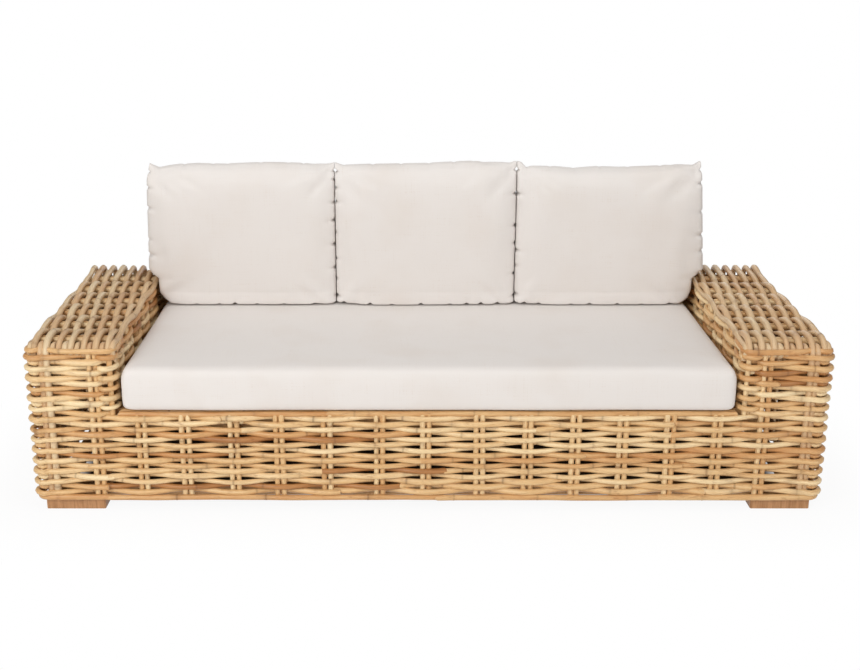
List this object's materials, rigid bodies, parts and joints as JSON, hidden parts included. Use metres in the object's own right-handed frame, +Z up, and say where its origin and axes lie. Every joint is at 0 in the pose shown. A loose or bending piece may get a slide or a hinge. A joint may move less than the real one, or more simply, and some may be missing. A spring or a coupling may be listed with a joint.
{
  "type": "garden sofa",
  "caption": "Low three-seat garden sofa of thick woven rattan with wide square arms, wooden block feet, a long seat cushion and loose back cushions.",
  "frame": {"origin": "on the ground under the middle of the sofa", "axes": "+X to the right as seen from the front, -Y to the front, +Z up"},
  "size_m": [2.36, 0.896, 0.9376],
  "materials": {
    "woven_cane": "thick natural rattan canes, satin skin, straw to honey brown",
    "woven_cane_top": "natural rattan canes, a little greyer and more worn on top",
    "frame_timber": "plain sawn hardwood",
    "foot_wood": "light brown oiled hardwood blocks",
    "screw_steel": "zinc-plated steel",
    "seat_fabric": "off-white plain-weave cushion cover over foam",
    "back_fabric": "off-white plain-weave cushion cover over soft filling"
  },
  "bodies": {
    "frame": {"front_weave": "woven_cane", "rear_weave": "woven_cane", "arm_front_weave_left": "woven_cane", "arm_end_weave_left": "woven_cane", "arm_seat_weave_left": "woven_cane", "arm_front_weave_right": "woven_cane", "arm_end_weave_right": "woven_cane", "arm_seat_weave_right": "woven_cane", "back_seat_side_weave": "woven_cane", "back_rear_weave": "woven_cane", "back_end_weave_left": "woven_cane", "back_end_weave_right": "woven_cane", "arm_top_weave_left": "woven_cane_top", "arm_top_weave_right": "woven_cane_top", "back_top_weave": "woven_cane_top", "bottom_rail_front": "frame_timber", "bottom_rail_rear": "frame_timber", "bottom_rail_end_left": "frame_timber", "bottom_rail_inner_left": "frame_timber", "bottom_rail_end_right": "frame_timber", "bottom_rail_inner_right": "frame_timber", "arm_post_front_outer_left": "frame_timber", "arm_post_rear_outer_left": "frame_timber", "arm_rail_outer_left": "frame_timber", "arm_post_front_inner_left": "frame_timber", "arm_post_rear_inner_left": "frame_timber", "arm_rail_inner_left": "frame_timber", "arm_post_front_outer_right": "frame_timber", "arm_post_rear_outer_right": "frame_timber", "arm_rail_outer_right": "frame_timber", "arm_post_front_inner_right": "frame_timber", "arm_post_rear_inner_right": "frame_timber", "arm_rail_inner_right": "frame_timber", "seat_rail_front": "frame_timber", "seat_rail_rear": "frame_timber", "seat_bearer_left": "frame_timber", "seat_bearer_right": "frame_timber", "back_post_left": "frame_timber", "back_post_middle": "frame_timber", "back_post_right": "frame_timber", "back_top_rail": "frame_timber", "seat_deck": "frame_timber", "foot_front_left": "foot_wood", "foot_front_right": "foot_wood", "foot_rear_left": "foot_wood", "foot_rear_right": "foot_wood", "foot_screw_front_left_inner": "screw_steel", "foot_screw_front_left_outer": "screw_steel", "foot_screw_front_right_inner": "screw_steel", "foot_screw_front_right_outer": "screw_steel", "foot_screw_rear_left_inner": "screw_steel", "foot_screw_rear_left_outer": "screw_steel", "foot_screw_rear_right_inner": "screw_steel", "foot_screw_rear_right_outer": "screw_steel"},
    "seat_cushion": {"seat_cushion": "seat_fabric"},
    "back_cushion_left": {"back_cushion_left": "back_fabric"},
    "back_cushion_middle": {"back_cushion_middle": "back_fabric"},
    "back_cushion_right": {"back_cushion_right": "back_fabric"}
  },
  "joints": [
    {"name": "seat_cushion_slide", "type": "slide", "parent": "frame", "child": "seat_cushion", "axis": [0, -1, 0], "range_m": [0, 0.85]},
    {"name": "back_cushion_left_lift", "type": "slide", "parent": "seat_cushion", "child": "back_cushion_left", "axis": [0, 0, 1], "range_m": [0, 0.4]},
    {"name": "back_cushion_middle_lift", "type": "slide", "parent": "seat_cushion", "child": "back_cushion_middle", "axis": [0, 0, 1], "range_m": [0, 0.4]},
    {"name": "back_cushion_right_lift", "type": "slide", "parent": "seat_cushion", "child": "back_cushion_right", "axis": [0, 0, 1], "range_m": [0, 0.4]}
  ]
}
